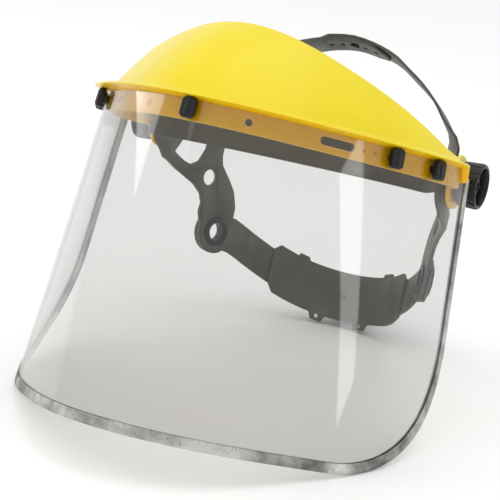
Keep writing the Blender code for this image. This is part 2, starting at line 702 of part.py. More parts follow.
def nape_band():
    for side, label in ((1, "left"), (-1, "right")):
        nape_strap(side, label)
    half = nape_width / 2
    reach = 58 * mm
    stations = [reach * (2 * k / 20 - 1) for k in range(1, 20)]
    eyes = [circle(x, -half - 1.2 * mm, 1.5 * mm, 8) for x in (-17 * mm, 17 * mm)]
    cover = bent_sheet("nape_cover", [tabbed_outline(reach, half), circle(0, 0, 2.7 * mm, 12)] + eyes,
                       nape_surface, -gap - 1.8 * mm, -gap, stations)
    add("nape_cover", cover, headgear_plastic, nape_axis)

    layers = 2 * nape_wall + gap
    low = layers + gap
    shell_reach = 50 * mm
    outline = slot(0, 0, 2 * shell_reach, half - 0.5 * mm, 9)
    stations = [shell_reach * (2 * k / 18 - 1) for k in range(1, 18)]
    shell = add("nape_housing", bent_sheet("nape_housing", [outline, circle(0, 0, 3.3 * mm, 16)], nape_surface,
                                           low, low + 2 * mm, stations), headgear_plastic, nape_axis)
    turn = frame_along(Vector((0, 1, 0)))
    middle = nape_surface(0, 0, 0)
    boss_top = low + 9 * mm
    boss = add("housing_boss_form", turned("boss", [(3.3 * mm, low + 0.6 * mm), (14 * mm, low + 0.6 * mm),
                                                    (13.4 * mm, boss_top), (3.3 * mm, boss_top)], 24),
               headgear_plastic, nape_axis, middle, turn)
    cut(shell, boss, "UNION")

    knob_low = boss_top + gap
    add("ratchet_knob", turned("ratchet_knob", [
        (3.3 * mm, knob_low), (13.6 * mm, knob_low), (knob_reach, knob_low + 1.5 * mm),
        (knob_reach - 0.4 * mm, knob_low + 9 * mm), (13.8 * mm, knob_low + 10.5 * mm),
        (6 * mm, knob_low + 10.5 * mm), (5.5 * mm, knob_low + 8 * mm), (3.3 * mm, knob_low + 8 * mm)],
        42, lambda a: 1 - 0.04 * max(0, cos(14 * a)) ** 2), black_plastic, nape_axis, middle, turn)

    gear = []
    for k in range(10):
        gear += [(5.3 * mm * cos(radians(36 * k + d)), 5.3 * mm * sin(radians(36 * k + d))) for d in (-6, 6)]
        gear += [(4.2 * mm * cos(radians(36 * k + d)), 4.2 * mm * sin(radians(36 * k + d))) for d in (13, 23)]
    pinion = add("ratchet_pinion", prism("ratchet_pinion", gear, 0.1 * mm, layers), black_plastic, nape_axis,
                 middle, turn)
    shaft = add("pinion_shaft_form", turned("shaft", [
        (1.3 * mm, -1.9 * mm), (2.4 * mm, -1.9 * mm), (2.4 * mm, 0.6 * mm), (3.0 * mm, 0.6 * mm),
        (3.0 * mm, knob_low + 7.6 * mm), (1.3 * mm, knob_low + 7.6 * mm)], 12),
        black_plastic, nape_axis, middle, turn)
    bore = add("pinion_bore_form", prism("bore", circle(0, 0, 1.3 * mm, 12), -3 * mm, 30 * mm), steel, nape_axis,
               middle, turn)
    cut(pinion, shaft, "UNION")
    cut(pinion, bore)
    add("ratchet_screw", turned("ratchet_screw", [
        (0.3 * mm, knob_low - 3 * mm), (1.0 * mm, knob_low - 3 * mm), (1.0 * mm, knob_low + 8.3 * mm),
        (3.8 * mm, knob_low + 8.3 * mm), (3.2 * mm, knob_low + 9.8 * mm), (0.3 * mm, knob_low + 9.8 * mm)], 12),
        steel, nape_axis, middle, turn)


def hub_eyelets():
    """Flanged tubes that hold the straps' rings on the headband's hubs."""
    low = -headband_wall - gap
    high = swing_gap + nape_wall + swing_gap
    flange = 0.9 * mm
    profile = [(eyelet_bore, low - flange), (10 * mm, low - flange), (10 * mm, low), (eyelet_outer, low),
               (eyelet_outer, high), (10.2 * mm, high), (10.2 * mm, high + flange), (eyelet_bore, high + flange)]
    for side, label in ((1, "left"), (-1, "right")):
        point, normal = band(side * hub_s)
        add(f"hub_eyelet_{label}", turned("hub_eyelet", profile, 20), black_plastic, worn,
            point + Vector((0, 0, hub_z)), frame_along(normal))


# ---------------------------------------------------------------- crown strap

def crown_plan():
    """The strap's inner face in its own leaning plane, from the middle of the head down to one side."""
    base, normal = band(disc_s + stud_along)
    reach = base.x - 1.12 * (headband_wall + crown_wall) - 2 * gap
    points = []
    for k in range(91):
        t = radians(k)
        points.append((reach * sin(t) ** crown_arch, -crown_rise * cos(t) ** crown_arch))
    points += [(reach, k * mm) for k in range(1, 9)]
    return PlanCurve(points)


crown = crown_plan()
crown_base_s = float(np.interp(0, crown.points[:, 1], crown.length))


def crown_surface(s, t, out):
    """Raise a point of the flat strap onto the arch; its feet turn to lie along the side plates."""
    point, normal = crown(s)
    base, plate = band(disc_s + stud_along)
    flat = point + normal * out
    turn = plate.y / plate.x * ease((abs(s) - crown_base_s + 30 * mm) / (18 * mm))
    side = -1 if s < 0 else 1
    return Vector((flat.x - side * t * turn, base.y - flat.y * sin(crown_lean) + t * cos(crown_lean),
                   stud_z - flat.y * cos(crown_lean) - t * sin(crown_lean)))


def crown_strap():
    step = crown_wall + gap
    plate = band(disc_s + stud_along)[1]
    stud_slip = (headband_wall + crown_wall) * plate.y / plate.x    # the studs stand square to the plates
    base_half, top_half = crown_base_width / 2, crown_top_width / 2
    for side, label in ((1, "left"), (-1, "right")):
        lift = step if side > 0 else 0                 # the left half lies on the outside
        end = -crown_overlap
        foot = crown_base_s + 4 * mm
        outline = [(end, -4 * mm), (end + 10 * mm, -top_half), (20 * mm, -top_half), (foot - 34 * mm, -base_half),
                   (foot - 12 * mm, -base_half), (foot - 3 * mm, -6 * mm), (foot, 0), (foot - 3 * mm, 6 * mm),
                   (foot - 12 * mm, base_half), (foot - 34 * mm, base_half), (20 * mm, top_half),
                   (end + 10 * mm, top_half), (end, 4 * mm)]
        holes = [circle(x * mm, 0, 1.9 * mm, 8) for x in (-16, -8, 0, 8, 16)]
        holes.append(circle(crown_base_s, -stud_slip, stud_radius + 2.5 * gap, 8))
        loops = [[(side * s, t) for s, t in loop] for loop in [outline] + holes]
        stations = [side * (end + (foot - end) * k / 22) for k in range(1, 22)]

        def surface(s, t, out):
            reach = abs(s) if s * side > 0 else 0
            return crown_surface(s, t, out + lift * (1 - ease((reach - 30 * mm) / (20 * mm))))

        add(f"crown_strap_{label}", bent_sheet("crown", loops, surface, 0, crown_wall, stations),
            headgear_plastic, worn)
    top = crown_surface(0, 0, 0)
    up = (crown_surface(0, 0, 1 * mm) - top).normalized()
    add("crown_peg", turned("crown_peg", [
        (0.3 * mm, -1.5 * mm), (3 * mm, -1.5 * mm), (3 * mm, -gap), (1.6 * mm, -gap),
        (1.6 * mm, step + crown_wall + gap), (3.6 * mm, step + crown_wall + gap),
        (3 * mm, step + crown_wall + 1.8 * mm), (0.3 * mm, step + crown_wall + 1.8 * mm)], 12),
        black_plastic, worn, top, frame_along(up))
    for side, label in ((1, "left"), (-1, "right")):
        point, normal = band(side * (disc_s + stud_along))
        inner = -headband_wall - crown_wall - 5 * gap
        add(f"crown_stud_{label}", turned("crown_stud", [
            (0.3 * mm, inner - 1 * mm), (4 * mm, inner - 1 * mm), (4 * mm, inner), (stud_radius, inner),
            (stud_radius, gap), (3.4 * mm, gap), (2.8 * mm, 1.4 * mm), (0.3 * mm, 1.4 * mm)], 12),
            black_plastic, worn, point + Vector((0, 0, stud_z)), frame_along(normal))


# ---------------------------------------------------------------- build

brow_guard()
visor()
edge_trim()
visor_buttons()
for sign, word in ((1, "left"), (-1, "right")):
    pivot(sign, word)
headband()
sweatband()
nape_band()
hub_eyelets()
crown_strap()


# ---------------------------------------------------------------- rest pose

def points_of(obj):
    evaluated = obj.evaluated_get(bpy.context.evaluated_depsgraph_get())
    return [evaluated.matrix_world @ v.co for v in evaluated.data.vertices]


def rest_on_table():
    """Lean the shield back until its front and rear contacts are level, and centre it over the origin."""
    bpy.context.view_layer.update()
    nodes = [o for o in bpy.data.objects if o.type == "MESH" and not o.hide_render]
    every = {o.name: points_of(o) for o in nodes}
    front = every["edge_trim"]
    rear = [p for o in nodes if o.parent is nape_axis for p in every[o.name]]

    def lowest(points, lean):
        return min(p.z * cos(lean) - p.y * sin(lean) for p in points)

    low, high = 0.0, radians(45)
    for _ in range(40):
        lean = (low + high) / 2
        if lowest(rear, lean) > lowest(front, lean):
            low = lean
        else:
            high = lean
    worn.rotation_euler.x = -lean
    everything = [p for points in every.values() for p in points]
    reach = [p.y * cos(lean) + p.z * sin(lean) for p in everything]
    worn.location = (0, -(min(reach) + max(reach)) / 2, -lowest(everything, lean))


rest_on_table()
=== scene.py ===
import json
from math import atan2, cos, hypot, pi, radians, sin, sqrt

import bmesh
import bpy
import numpy as np
from mathutils import Matrix, Vector, noise


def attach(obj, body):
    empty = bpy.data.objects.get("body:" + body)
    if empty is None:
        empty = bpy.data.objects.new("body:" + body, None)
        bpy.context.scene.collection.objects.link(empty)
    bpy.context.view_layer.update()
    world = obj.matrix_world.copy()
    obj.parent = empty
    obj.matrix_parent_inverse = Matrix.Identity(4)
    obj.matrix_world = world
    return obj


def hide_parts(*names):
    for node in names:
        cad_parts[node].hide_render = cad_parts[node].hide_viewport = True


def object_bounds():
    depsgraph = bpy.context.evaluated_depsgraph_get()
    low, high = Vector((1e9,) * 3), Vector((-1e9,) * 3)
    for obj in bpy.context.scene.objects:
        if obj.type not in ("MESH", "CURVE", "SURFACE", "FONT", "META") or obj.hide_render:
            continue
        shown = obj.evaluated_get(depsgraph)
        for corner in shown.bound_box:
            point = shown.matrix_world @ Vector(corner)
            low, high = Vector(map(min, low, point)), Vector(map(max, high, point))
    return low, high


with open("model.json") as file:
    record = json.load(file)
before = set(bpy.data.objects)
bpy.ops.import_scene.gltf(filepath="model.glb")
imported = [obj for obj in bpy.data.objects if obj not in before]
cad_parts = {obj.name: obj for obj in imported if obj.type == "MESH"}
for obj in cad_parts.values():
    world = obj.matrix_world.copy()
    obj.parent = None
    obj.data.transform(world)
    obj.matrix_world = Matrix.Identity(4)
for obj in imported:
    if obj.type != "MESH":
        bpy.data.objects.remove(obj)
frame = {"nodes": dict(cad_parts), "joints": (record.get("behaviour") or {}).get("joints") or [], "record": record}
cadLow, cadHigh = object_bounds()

mm = 0.001

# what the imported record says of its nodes
record = frame["record"]
joints = {joint["name"]: joint for joint in frame["joints"]}
bodyOf = {node: body for body, nodes in record["behaviour"]["bodies"].items() for node in nodes}
slotOf = {part["node"]: part["material_slot"] for part in record["subparts"]}

# the worn frame: x to the wearer's left, y back, z up; on the table it leans back about x
ratchetAxis = joints["ratchet_turn"]["axis"]
lean = atan2(-ratchetAxis[2], ratchetAxis[1])
pivotWorn = Vector((0, 28 * mm, -9 * mm))
pivotWorld = Vector(joints["guard_tilt"]["pos_m"])
turnBack = Matrix.Rotation(-lean, 4, "X")
worn = Matrix.Translation(pivotWorld - turnBack @ pivotWorn) @ turnBack
wornUp = (turnBack @ Vector((0, 0, 1))).normalized()
wornZero = worn.translation


# camera
viewpoint = {
    "place": (0.449, -1.0436, 0.4116),
    "turn": (74.034, -6.155, 25.353),      # degrees
    "lens": 136.88,
    "sensor": 36,
}


def link(thing):
    bpy.context.scene.collection.objects.link(thing)
    return thing


camera = link(bpy.data.objects.new("camera", bpy.data.cameras.new("camera")))
camera.location = viewpoint["place"]
camera.rotation_euler = [radians(angle) for angle in viewpoint["turn"]]
camera.data.lens = viewpoint["lens"]
camera.data.sensor_width = viewpoint["sensor"]
camera.data.clip_start, camera.data.clip_end = 0.01, 100
bpy.context.scene.camera = camera
print("camera set")


# shader expressions: sums on a Wire add their Math nodes

class Wire:
    def __init__(self, finish, socket):
        self.finish, self.socket = finish, socket

    def math(self, operation, first, second):
        return self.finish.node("ShaderNodeMath", {"operation": operation}, {0: first, 1: second})

    def __add__(self, other):
        return self.math("ADD", self, other)

    def __radd__(self, other):
        return self.math("ADD", other, self)

    def __sub__(self, other):
        return self.math("SUBTRACT", self, other)

    def __rsub__(self, other):
        return self.math("SUBTRACT", other, self)

    def __mul__(self, other):
        return self.math("MULTIPLY", self, other)

    def __rmul__(self, other):
        return self.math("MULTIPLY", other, self)

    def __pow__(self, other):
        return self.math("POWER", self, other)

    def clipped(self, low, high):      # 0 up to low, 1 from high on
        return self.finish.node("ShaderNodeMapRange", {"clamp": True},
                                {"Value": self, "From Min": low, "From Max": high})


class Finish:
    def __init__(self, name):
        self.material = bpy.data.materials.new(name)
        self.material.use_nodes = True
        self.tree = self.material.node_tree
        self.tree.nodes.clear()
        self.place = self.node("ShaderNodeTexCoord", output="Object")

    def node(self, kind, settings=None, values=None, output=0):
        made = self.tree.nodes.new(kind)
        for key, value in (settings or {}).items():
            setattr(made, key, value)
        for key, value in (values or {}).items():
            if isinstance(value, Wire):
                self.tree.links.new(value.socket, made.inputs[key])
            else:
                made.inputs[key].default_value = value
        return Wire(self, made.outputs[output])

    def noise(self, scale, detail=3.0, rough=0.5, stretch=None):
        place = self.place
        if stretch:
            place = self.node("ShaderNodeVectorMath", {"operation": "MULTIPLY"}, {0: place, 1: stretch})
        return self.node("ShaderNodeTexNoise", {}, {"Vector": place, "Scale": scale, "Detail": detail,
                                                    "Roughness": rough}, "Fac")

    def mix(self, factor, first, second):
        return self.node("ShaderNodeMix", {"data_type": "RGBA"}, {0: factor, 6: first, 7: second}, 2)

    def height(self, along, start):      # metres from a point, along a direction
        offset = self.node("ShaderNodeVectorMath", {"operation": "SUBTRACT"}, {0: self.place, 1: start})
        return self.node("ShaderNodeVectorMath", {"operation": "DOT_PRODUCT"}, {0: offset, 1: along}, "Value")

    def bump(self, height, strength, distance):
        return self.node("ShaderNodeBump", {}, {"Height": height, "Strength": strength, "Distance": distance})

    def shine(self, **values):      # Base_Color and the like stand for the sockets' own names
        sockets = {key.replace("_", " "): value for key, value in values.items()}
        return self.node("ShaderNodeBsdfPrincipled", {}, sockets)

    def close(self, shader):
        end = self.tree.nodes.new("ShaderNodeOutputMaterial")
        self.tree.links.new(shader.socket, end.inputs["Surface"])
        return self.material


def rgb(red, green, blue):
    return (red, green, blue, 1)


# lemon yellow moulding: faint clouds and orange peel, with painted shade below the brim (a deeper amber on the
# band)
yellowLook = {
    "face": rgb(0.78, 0.63, 0.003),
    "pale": rgb(0.81, 0.665, 0.008),
    # band: painted shade, the deeper amber that stands for the brim's shadow on the band
    "band": rgb(1.0, 0.54, 0.0),
    "bandShadeShare": 0.95,
    "bandShadeEdge": (-2.6 * mm, 0.2 * mm),
    "roughness": 0.24,
}


def yellowPlastic():
    finish = Finish("yellowPlastic")
    clouds = finish.noise(14, 2).clipped(0.35, 0.65)
    skin = finish.mix(clouds, yellowLook["face"], yellowLook["pale"])
    # painted shade: below the brim's height the colour turns to the deeper amber
    aboveBandShade = finish.height(tuple(wornUp), tuple(wornZero)).clipped(*yellowLook["bandShadeEdge"])
    skin = finish.mix((1 - aboveBandShade) * yellowLook["bandShadeShare"], skin, yellowLook["band"])
    scuffs = finish.noise(900, 2, 0.7, (1, 1, 0.06)).clipped(0.66, 0.74)
    rough = yellowLook["roughness"] + finish.noise(60, 3) * 0.08 + scuffs * 0.10
    peel = finish.noise(700, 1) * 0.6 + finish.noise(90, 1)
    return finish.close(finish.shine(
        Base_Color=skin, Roughness=rough, IOR=1.5, Specular_IOR_Level=0.36,
        Subsurface_Weight=0.10, Subsurface_Radius=(0.004, 0.003, 0.0004), Subsurface_Scale=0.5,
        Normal=finish.bump(peel, 0.25, 0.12 * mm)))


# clear sheet: tinted see-through, with a mirror share that grows towards grazing
sheetLook = {
    "through": rgb(0.846, 0.845, 0.838),    # what one face of the sheet lets past
    "mirror": 0.035,
    "edgeMirror": 0.85,
    "gleam": rgb(0.90, 0.90, 0.90),
    "roughness": 0.035,
}


def clearSheet():
    finish = Finish("clearSheet")
    grazing = finish.node("ShaderNodeLayerWeight", {}, {"Blend": 0.5}, "Facing") ** 4.5
    wipes = finish.noise(260, 3, 0.6, (0.15, 0.15, 1)).clipped(0.55, 0.8)
    share = grazing * sheetLook["edgeMirror"] + (wipes * 0.015 + sheetLook["mirror"])
    past = finish.node("ShaderNodeBsdfTransparent", {}, {"Color": sheetLook["through"]})
    gloss = finish.shine(Base_Color=sheetLook["gleam"], Metallic=1.0,
                         Roughness=wipes * 0.05 + sheetLook["roughness"])
    return finish.close(finish.node("ShaderNodeMixShader", {}, {0: share, 1: past, 2: gloss}))


# rolled edging: bright and dull patches, dark specks, lines from the rolling
trimLook = {
    "bright": rgb(0.56, 0.56, 0.545),
    "dull": rgb(0.14, 0.137, 0.13),
    "speck": rgb(0.07, 0.068, 0.064),
    "roughness": 0.46,
}


def rolledAluminium():
    finish = Finish("rolledAluminium")
    patches = finish.noise(34, 4, 0.6).clipped(0.36, 0.62)
    specks = finish.noise(420, 3, 0.7).clipped(0.60, 0.72)
    drawn = finish.noise(800, 2, 0.6, (0.05, 1, 1))
    skin = finish.mix(patches, trimLook["dull"], trimLook["bright"])
    skin = finish.mix(specks * 0.7, skin, trimLook["speck"])
    rough = trimLook["roughness"] - patches * 0.10 + specks * 0.2 + drawn * 0.06
    ripple = finish.noise(120, 2) + drawn * 0.3 - specks * 0.5
    return finish.close(finish.shine(Base_Color=skin, Roughness=rough, Metallic=0.9 - specks * 0.4,
                                     Normal=finish.bump(ripple, 0.5, 0.2 * mm)))


# dark mouldings: spark-eroded grain, paler on worn edges and along scratches
knobLook = {
    "dark": rgb(0.004, 0.004, 0.004), "light": rgb(0.009, 0.009, 0.009), "worn": rgb(0.03, 0.03, 0.03),
    "roughness": 0.30, "grain": 1400, "relief": 0.35,
}
headgearLook = {
    "dark": rgb(0.052, 0.050, 0.039), "light": rgb(0.078, 0.074, 0.059), "worn": rgb(0.13, 0.125, 0.105),
    "roughness": 0.42, "grain": 1100, "relief": 0.4,
}


def moulded(name, look):
    finish = Finish(name)
    clouds = finish.noise(45, 3).clipped(0.35, 0.68)
    skin = finish.mix(clouds, look["dark"], look["light"])
    edges = finish.node("ShaderNodeNewGeometry", output="Pointiness").clipped(0.53, 0.60)
    skin = finish.mix(edges * 0.45, skin, look["worn"])
    scratch = finish.noise(500, 2, 0.6, (1, 0.07, 0.5)).clipped(0.68, 0.76)
    skin = finish.mix(scratch * 0.25, skin, look["worn"])
    spark = finish.noise(look["grain"], 2, 0.6)
    rough = look["roughness"] + spark * 0.08 + clouds * 0.05 - edges * 0.06
    return finish.close(finish.shine(Base_Color=skin, Roughness=rough, IOR=1.5, Specular_IOR_Level=0.32,
                                     Normal=finish.bump(spark + scratch * 0.2, look["relief"], 0.1 * mm)))


# pad fabric: a plain weave with some fluff
padLook = {
    "thread": rgb(0.045, 0.045, 0.048), "valley": rgb(0.012, 0.012, 0.013),
    "fluff": 0.3, "pitch": 1.1 * mm, "roughness": 0.92,
}


def padFabric():
    finish = Finish("padFabric")
    across = finish.height((1, 0, 0), (0, 0, 0))
    upward = finish.height(tuple(wornUp), tuple(wornZero))
    warp, weft = (finish.node("ShaderNodeMath", {"operation": "SINE"}, {0: line * (2 * pi / padLook["pitch"])})
                  for line in (across, upward))
    weave = (warp * weft).clipped(-0.8, 0.8)
    fuzz = finish.noise(1500, 2, 0.7)
    skin = finish.mix(weave * 0.6 + fuzz * 0.4, padLook["valley"], padLook["thread"])
    return finish.close(finish.shine(Base_Color=skin, Roughness=padLook["roughness"] - fuzz * 0.1,
                                     Sheen_Weight=padLook["fluff"], Sheen_Roughness=0.5,
                                     Normal=finish.bump(weave + fuzz * 0.5, 0.6, 0.25 * mm)))


# small hardware: zinc plate and brass
steelLook = {"bright": rgb(0.60, 0.60, 0.58), "dull": rgb(0.42, 0.41, 0.38), "roughness": 0.26}
brassLook = {"bright": rgb(0.74, 0.53, 0.20), "dull": rgb(0.50, 0.34, 0.12), "roughness": 0.30}


def turnedMetal(name, look):
    finish = Finish(name)
    patches = finish.noise(200, 3).clipped(0.4, 0.65)
    rings = finish.noise(1500, 2, 0.5, (1, 0.1, 0.1))
    skin = finish.mix(patches, look["bright"], look["dull"])
    return finish.close(finish.shine(Base_Color=skin, Metallic=1.0,
                                     Roughness=look["roughness"] + rings * 0.12 + patches * 0.1,
                                     Normal=finish.bump(rings, 0.3, 0.05 * mm)))


finishes = {
    "yellow_plastic": yellowPlastic(),
    "clear_sheet": clearSheet(),
    "aluminium": rolledAluminium(),
    "black_plastic": moulded("blackPlastic", knobLook),
    "headgear_plastic": moulded("headgearPlastic", headgearLook),
    "foam_pad": padFabric(),
    "steel": turnedMetal("zincSteel", steelLook),
    "brass": turnedMetal("turnedBrass", brassLook),
}
print("finishes made")


# plan curves, laid out as the CAD lays them out

class PlanCurve:      # from the middle (s = 0) to one side, mirrored for negative s
    def __init__(self, points):
        self.points = np.array(points)
        self.length = np.concatenate([[0], np.cumsum(np.linalg.norm(np.diff(self.points, axis=0), axis=1))])
        tangent = np.gradient(self.points, self.length, axis=0)
        self.tangent = tangent / np.linalg.norm(tangent, axis=1)[:, None]

    def __call__(self, s):      # the point and its outward normal
        side = -1 if s < 0 else 1
        x, y = (np.interp(abs(s), self.length, self.points[:, k]) for k in (0, 1))
        tx, ty = (np.interp(abs(s), self.length, self.tangent[:, k]) for k in (0, 1))
        return Vector((side * x, y, 0)), Vector((side * ty, -tx, 0)).normalized()

    def atY(self, y):
        return float(np.interp(y, self.points[:, 1], self.length))


def stationsTo(end, count, fine, steps):      # arc lengths, closing up over the last few of count
    even = count - fine
    half = [end * (k / count) for k in range(even)]
    return half + [end * (even + fine * sin(pi / 2 * k / steps)) / count for k in range(steps + 1)]


def bothSides(half):
    return [-s for s in reversed(half[1:])] + half


def ease(value):
    value = min(max(value, 0), 1)
    return value * value * (3 - 2 * value)


plan = {
    "half": 115 * mm, "depth": 149.7 * mm, "tuck": 0.083,
    "lugHalf": 104 * mm, "stepFrom": -10 * mm, "step": 24 * mm, "lugEnd": 45 * mm,
    "flare": 0.085,                         # outward slope of band and visor, going down
}


def browDraw(t):
    return 1 - plan["tuck"] * sin(2 * t) ** 2


def browPlan(stepIn):
    points = []
    for k in range(361):
        t = radians(k / 4)
        points.append((plan["half"] * sin(t) * browDraw(t), -plan["depth"] * cos(t) * browDraw(t)))
    points += [(plan["half"], plan["lugEnd"] * k / 100) for k in range(1, 101)]
    return PlanCurve([(x - stepIn * ease((y - plan["stepFrom"]) / plan["step"]), y) for x, y in points])


guard = browPlan(plan["half"] - plan["lugHalf"])
sheet = browPlan(0)


def guardAngle(angle):      # arc length at a plan angle from the front, in degrees
    t = radians(abs(angle))
    reached = guard.atY(-plan["depth"] * cos(t) * browDraw(t))
    return reached if angle >= 0 else -reached


def sheetPoint(s, z, out):
    point, normal = sheet(s)
    return point + normal * (out - plan["flare"] * z) + Vector((0, 0, z))


def frameAlong(normal):      # z along the normal, y as near to up as it can be
    z = normal.normalized()
    x = Vector((0, 0, 1)).cross(z).normalized()
    return Matrix((x, z.cross(x), z)).transposed()


# mesh makers: a shell is a list of points and a list of faces

def skinned(rings, closed=False):
    across = len(rings[0])
    points = [point for ring in rings for point in ring]
    faces = []
    for i in range(len(rings) if closed else len(rings) - 1):
        a, b = i * across, (i + 1) % len(rings) * across
        faces += [(a + j, a + (j + 1) % across, b + (j + 1) % across, b + j) for j in range(across)]
    if not closed:
        faces += [tuple(range(across)), tuple(range((len(rings) - 1) * across, len(rings) * across))]
    return points, faces


def joined(*shells):
    points, faces = [], []
    for shellPoints, shellFaces in shells:
        faces += [tuple(index + len(points) for index in face) for face in shellFaces]
        points += shellPoints
    return points, faces


def placed(shell, place, turn):
    move = Matrix.Translation(place) @ turn.to_4x4()
    return [move @ point for point in shell[0]], shell[1]


def outlineRing(outline, height, grow=0.0):      # a flat outline, moved out by grow
    ring = []
    count = len(outline)
    for k, (x, y) in enumerate(outline):
        ax, ay = outline[(k + 1) % count]
        bx, by = outline[k - 1]
        nx, ny = ay - by, bx - ax
        size = hypot(nx, ny) or 1
        ring.append(Vector((x + grow * nx / size, y + grow * ny / size, height)))
    return ring


def stacked(outline, levels):      # levels are (height, grow)
    return skinned([outlineRing(outline, height, grow) for height, grow in levels])


def turnedShell(profile, segments, wave=None):      # wave(angle, r, z) gives the radius at that angle
    rings = []
    for k in range(segments):
        a = 2 * pi * k / segments
        ring = [(wave(a, r, z) if wave else r, z) for r, z in profile]
        rings.append([Vector((cos(a) * r, sin(a) * r, z)) for r, z in ring])
    return skinned(rings, closed=True)


def disc(radius, count=32, x=0.0):
    return [(x + radius * cos(2 * pi * k / count), radius * sin(2 * pi * k / count)) for k in range(count)]


def roundSlot(length, radius, count=12):
    reach = length / 2 - radius
    points = []
    for side, start in ((1, -90), (-1, 90)):
        points += [(side * reach + radius * cos(radians(start + 180 * k / count)),
                    radius * sin(radians(start + 180 * k / count))) for k in range(count + 1)]
    return points


def softBox(width, height, radius, count=8):
    points = []
    for sx, sy, start in ((1, 1, 0), (-1, 1, 90), (-1, -1, 180), (1, -1, 270)):
        points += [(sx * (width / 2 - radius) + radius * cos(radians(start + 90 * k / count)),
                    sy * (height / 2 - radius) + radius * sin(radians(start + 90 * k / count)))
                   for k in range(count + 1)]
    return points


def smoothed(mesh, sharp):
    mesh.shade_smooth()
    mesh.set_sharp_from_angle(angle=radians(sharp))
    return mesh


def meshOf(name, shell, sharp=40):
    mesh = bpy.data.meshes.new(name)
    bm = bmesh.new()
    verts = [bm.verts.new(worn @ point) for point in shell[0]]
    for face in shell[1]:
        bm.faces.new([verts[index] for index in face])
    bmesh.ops.recalc_face_normals(bm, faces=bm.faces)
    bm.to_mesh(mesh)
    bm.free()
    return smoothed(mesh, sharp)


def standFor(name, mesh, node):      # a piece in the place of a CAD node
    piece = link(bpy.data.objects.new(name, mesh))
    mesh.materials.clear()
    mesh.materials.append(finishes[slotOf[node]])
    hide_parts(node)
    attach(piece, bodyOf[node])
    return piece


def settle(piece, sharp=40):      # the modifiers' result becomes the mesh
    graph = bpy.context.evaluated_depsgraph_get()
    made = bpy.data.meshes.new_from_object(piece.evaluated_get(graph))
    piece.modifiers.clear()
    piece.data = smoothed(made, sharp)


def drill(piece, shells):
    cutter = link(bpy.data.objects.new("cutter", meshOf("cutter", joined(*shells))))
    cutting = piece.modifiers.new("cutting", "BOOLEAN")
    cutting.operation, cutting.solver, cutting.object = "DIFFERENCE", "MANIFOLD", cutter
    settle(piece)
    bpy.data.objects.remove(cutter, do_unlink=True)


# guard: band, rounded brim, dome and lugs in one skin
shellSizes = {
    "apex": 66.8 * mm, "power": 2.84, "centreY": -18.7 * mm,            # the dome
    "rake": 0.608, "rimFoot": -15 * mm, "rimLow": 2.5 * mm, "rimBlend": 7 * mm,
    "band": 14.6 * mm, "wall": 2.4 * mm, "lug": 17 * mm, "softEdge": 0.8 * mm,
    "brim": 10.5 * mm, "brimEndY": 12 * mm, "brimFade": (0.80, 0.19),   # the brim dies away at its ends
    "brimFoot": -4 * mm, "brimHead": 3.2 * mm,
    "bandRows": 6, "domeRows": 28, "insideRows": 31,
    "lastColumn": 0.985,                    # share of the lug's radius that the last column stands at
}
buttonHoles = {"angles": (-73.5, -59, 0, 59, 73.5), "z": -8.2 * mm, "radius": 2.6 * mm}
bandHoles = {
    "round": {"angle": 16, "z": -8.5 * mm, "outline": disc(2.1 * mm), "chamfer": 0.7 * mm},
    "slot": {"angle": 42, "z": -8.0 * mm, "outline": roundSlot(24 * mm, 2.4 * mm), "chamfer": 0.6 * mm},
    "firstPin": {"angle": 51, "z": -8.0 * mm, "outline": disc(1.1 * mm, 20, -2 * mm), "chamfer": 0.4 * mm},
    "secondPin": {"angle": 52.8, "z": -8.0 * mm, "outline": disc(1.1 * mm, 20, 2 * mm), "chamfer": 0.4 * mm},
}
lugBore = 3.3 * mm

# brim section: share of the brim's reach, and height in mm
brimSection = [
    (0, -3.4), (0.02, -2.6), (0.10, -2.0), (0.30, -1.65), (0.62, -1.32), (0.88, -1.02), (0.97, -0.75),
    (1.0, -0.3),      # the tip
    (0.985, 0.15), (0.92, 0.48), (0.62, 0.80), (0.30, 1.22), (0.11, 1.62), (0.03, 2.1), (0, 2.8),
]


def lugReach(y):
    reach = shellSizes["lug"] ** 2 - (y - pivotWorn.y) ** 2
    return sqrt(reach) if reach > 0 else 0


def rimHeight(y):      # a leaning cut over the dome, a low edge beside the ear, then the lug's round top
    cutOff = shellSizes["rake"] * (shellSizes["rimFoot"] - y)
    low = shellSizes["rimLow"]
    edge = (cutOff + low + hypot(cutOff - low, shellSizes["rimBlend"])) / 2
    reach = lugReach(y)
    if not reach:
        return edge
    return pivotWorn.z + reach if y > pivotWorn.y else max(edge, pivotWorn.z + reach)


def shellPoint(s, z):      # the outer face, without the brim
    foot, normal = guard(s)
    fade = 1 - ease((foot.y - plan["stepFrom"]) / plan["step"])
    if z < 0:
        return foot + normal * (-plan["flare"] * fade * z) + Vector((0, 0, z))
    left = (1 - z / shellSizes["apex"]) ** (1 / shellSizes["power"])
    share = (1 - left) * fade
    return Vector((foot.x * (1 - share), foot.y + (shellSizes["centreY"] - foot.y) * share, z))


def shellNormal(s, z):
    step = 0.2 * mm
    along = shellPoint(s + step, z) - shellPoint(s - step, z)
    up = shellPoint(s, z + step) - shellPoint(s, z - step)
    normal = along.cross(up).normalized()
    flat = guard(s)[1]
    return normal if normal.dot(Vector((flat.x, flat.y, 0.4))) > 0 else -normal


def rimTop(s):
    low, high = -25 * mm, shellSizes["apex"] * 0.999
    for _ in range(34):
        z = (low + high) / 2
        low, high = (z, high) if z < rimHeight(shellPoint(s, z).y) else (low, z)
    return low


def roundEdge(a, b, lift):      # four points that round a bare edge from a over to b
    middle, half, soft = (a + b) / 2, (a - b) / 2, shellSizes["softEdge"]
    return [middle + half * 0.9 + lift * soft * 0.55, middle + half * 0.55 + lift * soft * 0.92,
            middle - half * 0.55 + lift * soft * 0.92, middle - half * 0.9 + lift * soft * 0.55]


